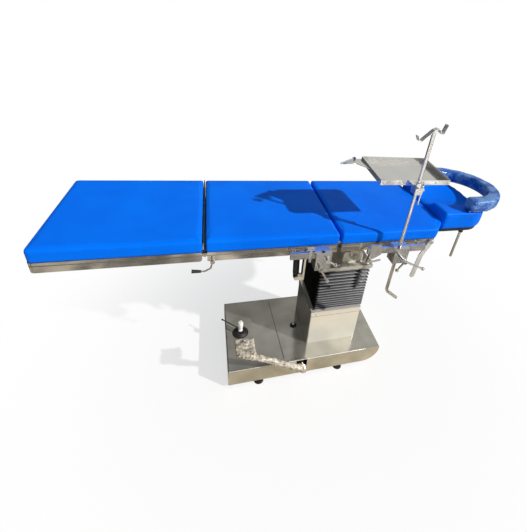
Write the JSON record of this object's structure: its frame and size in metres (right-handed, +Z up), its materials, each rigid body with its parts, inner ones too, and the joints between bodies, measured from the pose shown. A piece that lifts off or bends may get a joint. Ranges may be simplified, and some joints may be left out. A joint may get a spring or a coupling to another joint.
{
  "type": "operating table",
  "caption": "Height-adjustable operating table for eye surgery with folding leg and back sections, bowl head rest, wrist ring, side rails, pole with tray, pump and lock pedals.",
  "frame": {"origin": "on the floor, under the axis of the lifting column", "axes": "+X along the table top towards the head end, +Y across the table to its far side, +Z up"},
  "size_m": [1.931, 0.635, 1.3653],
  "materials": {
    "bellows_rubber": "folded, matt",
    "black_paint": "satin black",
    "black_plastic": "moulded",
    "blue_vinyl": "satin vinyl over foam",
    "dark_steel": "satin grey",
    "foot_rubber": "matt",
    "frame_steel": "brushed",
    "light_block": "light grey",
    "pale_cover": "glossy film over a blue ring",
    "polished_steel": "polished",
    "stainless": "brushed",
    "wheel": "grey tread",
    "white_plastic": "white"
  },
  "bodies": {
    "base": {"base_plate": "black_paint", "base_cover": "stainless", "column_cover": "stainless", "outer_column": "dark_steel", "lift_cylinder": "dark_steel", "bellows": "bellows_rubber", "lock_gaiter": "black_plastic", "release_grommet": "black_plastic"},
    "lock_frame": {"lock_frame": "black_paint", "lock_feet": "foot_rubber"},
    "lock_pedal": {"lock_lever": "polished_steel", "lock_knob": "white_plastic"},
    "pump_pedal": {"pump_lever": "stainless", "pump_foot_plate": "stainless"},
    "lowering_pin": {"lowering_pin": "polished_steel"},
    "lift": {"inner_column": "dark_steel", "lift_ram": "polished_steel", "saddle": "light_block", "strut_arm": "stainless"},
    "deck": {"chassis": "frame_steel", "tilt_shaft": "polished_steel", "seat_frame": "frame_steel", "seat_pad": "blue_vinyl", "seat_rails": "frame_steel", "rail_stop": "stainless"},
    "strut": {"strut_cylinder": "dark_steel"},
    "strut_rod": {"strut_rod": "polished_steel"},
    "leg": {"leg_frame": "frame_steel", "leg_pad": "blue_vinyl"},
    "leg_handle": {"leg_handle": "polished_steel", "leg_grip": "black_plastic"},
    "back": {"back_frame": "frame_steel", "back_pad": "blue_vinyl", "back_rails": "frame_steel", "rail_bracket": "stainless"},
    "head_release": {"head_release": "stainless"},
    "head": {"head_plate": "black_paint", "head_pad": "blue_vinyl"},
    "ring": {"wrist_ring": "pale_cover", "ring_carrier": "polished_steel"},
    "pole_clamp": {"pole_clamp": "stainless"},
    "clamp_rail_screw": {"clamp_rail_screw": "black_plastic"},
    "clamp_pole_screw": {"clamp_pole_screw": "black_plastic"},
    "pole": {"iv_pole": "polished_steel", "iv_hook": "polished_steel"},
    "tray_clamp": {"tray_clamp": "stainless"},
    "tray_screw": {"tray_screw": "polished_steel"},
    "tray": {"tray": "stainless", "tray_wing": "polished_steel"},
    "socket_clamp": {"socket_clamp": "stainless"},
    "socket_screw_1": {"socket_screw_1": "black_plastic"},
    "socket_screw_2": {"socket_screw_2": "black_plastic"},
    "castor_1": {"castor_fork_1": "dark_steel"},
    "castor_wheel_1": {"castor_wheel_1": "wheel"},
    "castor_2": {"castor_fork_2": "dark_steel"},
    "castor_wheel_2": {"castor_wheel_2": "wheel"},
    "castor_3": {"castor_fork_3": "dark_steel"},
    "castor_wheel_3": {"castor_wheel_3": "wheel"},
    "castor_4": {"castor_fork_4": "dark_steel"},
    "castor_wheel_4": {"castor_wheel_4": "wheel"}
  },
  "joints": [
    {"name": "castor_swivel_1", "type": "hinge", "parent": "base", "child": "castor_1", "pos_m": [-0.485, -0.165, 0.06], "axis": [0, 0, 1], "continuous": true},
    {"name": "wheel_spin_1", "type": "hinge", "parent": "castor_1", "child": "castor_wheel_1", "pos_m": [-0.503, -0.165, 0.025], "axis": [0, 1, 0], "continuous": true},
    {"name": "castor_swivel_2", "type": "hinge", "parent": "base", "child": "castor_2", "pos_m": [-0.485, 0.165, 0.06], "axis": [0, 0, 1], "continuous": true},
    {"name": "wheel_spin_2", "type": "hinge", "parent": "castor_2", "child": "castor_wheel_2", "pos_m": [-0.503, 0.165, 0.025], "axis": [0, 1, 0], "continuous": true},
    {"name": "castor_swivel_3", "type": "hinge", "parent": "base", "child": "castor_3", "pos_m": [0.112, -0.165, 0.06], "axis": [0, 0, 1], "continuous": true},
    {"name": "wheel_spin_3", "type": "hinge", "parent": "castor_3", "child": "castor_wheel_3", "pos_m": [0.094, -0.165, 0.025], "axis": [0, 1, 0], "continuous": true},
    {"name": "castor_swivel_4", "type": "hinge", "parent": "base", "child": "castor_4", "pos_m": [0.112, 0.165, 0.06], "axis": [0, 0, 1], "continuous": true},
    {"name": "wheel_spin_4", "type": "hinge", "parent": "castor_4", "child": "castor_wheel_4", "pos_m": [0.094, 0.165, 0.025], "axis": [0, 1, 0], "continuous": true},
    {"name": "lock_pedal_press", "type": "hinge", "parent": "base", "child": "lock_pedal", "pos_m": [-0.47, 0, 0.1], "axis": [0.6691, 0.7431, 0], "range_deg": [0, 12]},
    {"name": "lock_frame_lift", "type": "slide", "parent": "base", "child": "lock_frame", "axis": [0, 0, 1], "range_m": [0, 0.0096]},
    {"name": "pump_pedal_press", "type": "hinge", "parent": "base", "child": "pump_pedal", "pos_m": [-0.182, -0.262, 0.1], "axis": [0, -1, 0], "range_deg": [0, 25], "stiffness_Nm_per_rad": 6, "springref_deg": -45.84},
    {"name": "lowering_pin_press", "type": "slide", "parent": "base", "child": "lowering_pin", "axis": [0, 0, 1], "range_m": [-0.01, 0], "stiffness_N_per_m": 600, "springref_m": 0.004},
    {"name": "lift_slide", "type": "slide", "parent": "base", "child": "lift", "axis": [0, 0, 1], "range_m": [-0.16, 0.04], "deforming": ["bellows"]},
    {"name": "deck_tilt", "type": "hinge", "parent": "lift", "child": "deck", "pos_m": [0.048, 0, 0.672], "axis": [0, -1, 0], "range_deg": [-8, 8]},
    {"name": "strut_swivel", "type": "hinge", "parent": "lift", "child": "strut", "pos_m": [-0.2, 0, 0.48], "axis": [0, -1, 0], "range_deg": [-3.5, 3.5]},
    {"name": "strut_stroke", "type": "slide", "parent": "strut", "child": "strut_rod", "axis": [-0.0496, 0, 0.9988], "range_m": [-0.0375, 0.0375]},
    {"name": "leg_fold", "type": "hinge", "parent": "deck", "child": "leg", "pos_m": [-0.62, 0, 0.822], "axis": [0, -1, 0], "range_deg": [0, 75]},
    {"name": "leg_handle_pull", "type": "hinge", "parent": "deck", "child": "leg_handle", "pos_m": [-0.594, -0.264, 0.821], "axis": [0, 1, 0], "range_deg": [0, 20], "stiffness_Nm_per_rad": 0.4, "springref_deg": -22.92},
    {"name": "back_raise", "type": "hinge", "parent": "deck", "child": "back", "pos_m": [-0.109, 0, 0.845], "axis": [0, -1, 0], "range_deg": [0, 60], "deforming": ["seat_pad"]},
    {"name": "head_release_pull", "type": "hinge", "parent": "back", "child": "head_release", "pos_m": [0.32, -0.262, 0.841], "axis": [0, -1, 0], "range_deg": [0, 15], "stiffness_Nm_per_rad": 0.5, "springref_deg": -22.92},
    {"name": "head_tilt", "type": "hinge", "parent": "back", "child": "head", "pos_m": [0.402, 0, 0.845], "axis": [0, -1, 0], "range_deg": [-30, 5]},
    {"name": "ring_height", "type": "slide", "parent": "head", "child": "ring", "axis": [0, 0, 1], "range_m": [0, 0.08]},
    {"name": "pole_clamp_slide", "type": "slide", "parent": "back", "child": "pole_clamp", "axis": [1, 0, 0], "range_m": [-0.045, 0.09]},
    {"name": "clamp_rail_screw_turn", "type": "hinge", "parent": "pole_clamp", "child": "clamp_rail_screw", "pos_m": [0.165, -0.318, 0.797], "axis": [0, -1, 0], "range_deg": [-60, 90]},
    {"name": "clamp_pole_screw_turn", "type": "hinge", "parent": "pole_clamp", "child": "clamp_pole_screw", "pos_m": [0.136, -0.318, 0.821], "axis": [0, -1, 0], "range_deg": [-60, 60]},
    {"name": "pole_height", "type": "slide", "parent": "pole_clamp", "child": "pole", "axis": [0, 0, 1], "range_m": [-0.1, 0.14]},
    {"name": "tray_height", "type": "slide", "parent": "pole", "child": "tray_clamp", "axis": [0, 0, 1], "range_m": [-0.08, 0.15]},
    {"name": "tray_screw_turn", "type": "hinge", "parent": "tray_clamp", "child": "tray_screw", "pos_m": [0.149, -0.303, 1.119], "axis": [1, 0, 0], "range_deg": [-90, 60]},
    {"name": "tray_swing", "type": "hinge", "parent": "tray_clamp", "child": "tray", "pos_m": [0.133, -0.303, 1.135], "axis": [0, 0, 1], "range_deg": [-10, 90]},
    {"name": "socket_clamp_slide", "type": "slide", "parent": "deck", "child": "socket_clamp", "axis": [1, 0, 0], "range_m": [-0.01, 0.004]},
    {"name": "socket_screw_1_turn", "type": "hinge", "parent": "socket_clamp", "child": "socket_screw_1", "pos_m": [-0.183, -0.32, 0.837], "axis": [0, -1, 0], "range_deg": [-20, 90]},
    {"name": "socket_screw_2_turn", "type": "hinge", "parent": "socket_clamp", "child": "socket_screw_2", "pos_m": [-0.209, -0.32, 0.804], "axis": [0, -1, 0], "range_deg": [-90, 20]}
  ],
  "couplings": [
    {"joint": "lock_frame_lift", "follows": "lock_pedal_press", "m_per_rad": 0.0458},
    {"joint": "strut_swivel", "follows": "deck_tilt", "ratio": 0.407},
    {"joint": "strut_stroke", "follows": "deck_tilt", "m_per_rad": -0.2568}
  ]
}
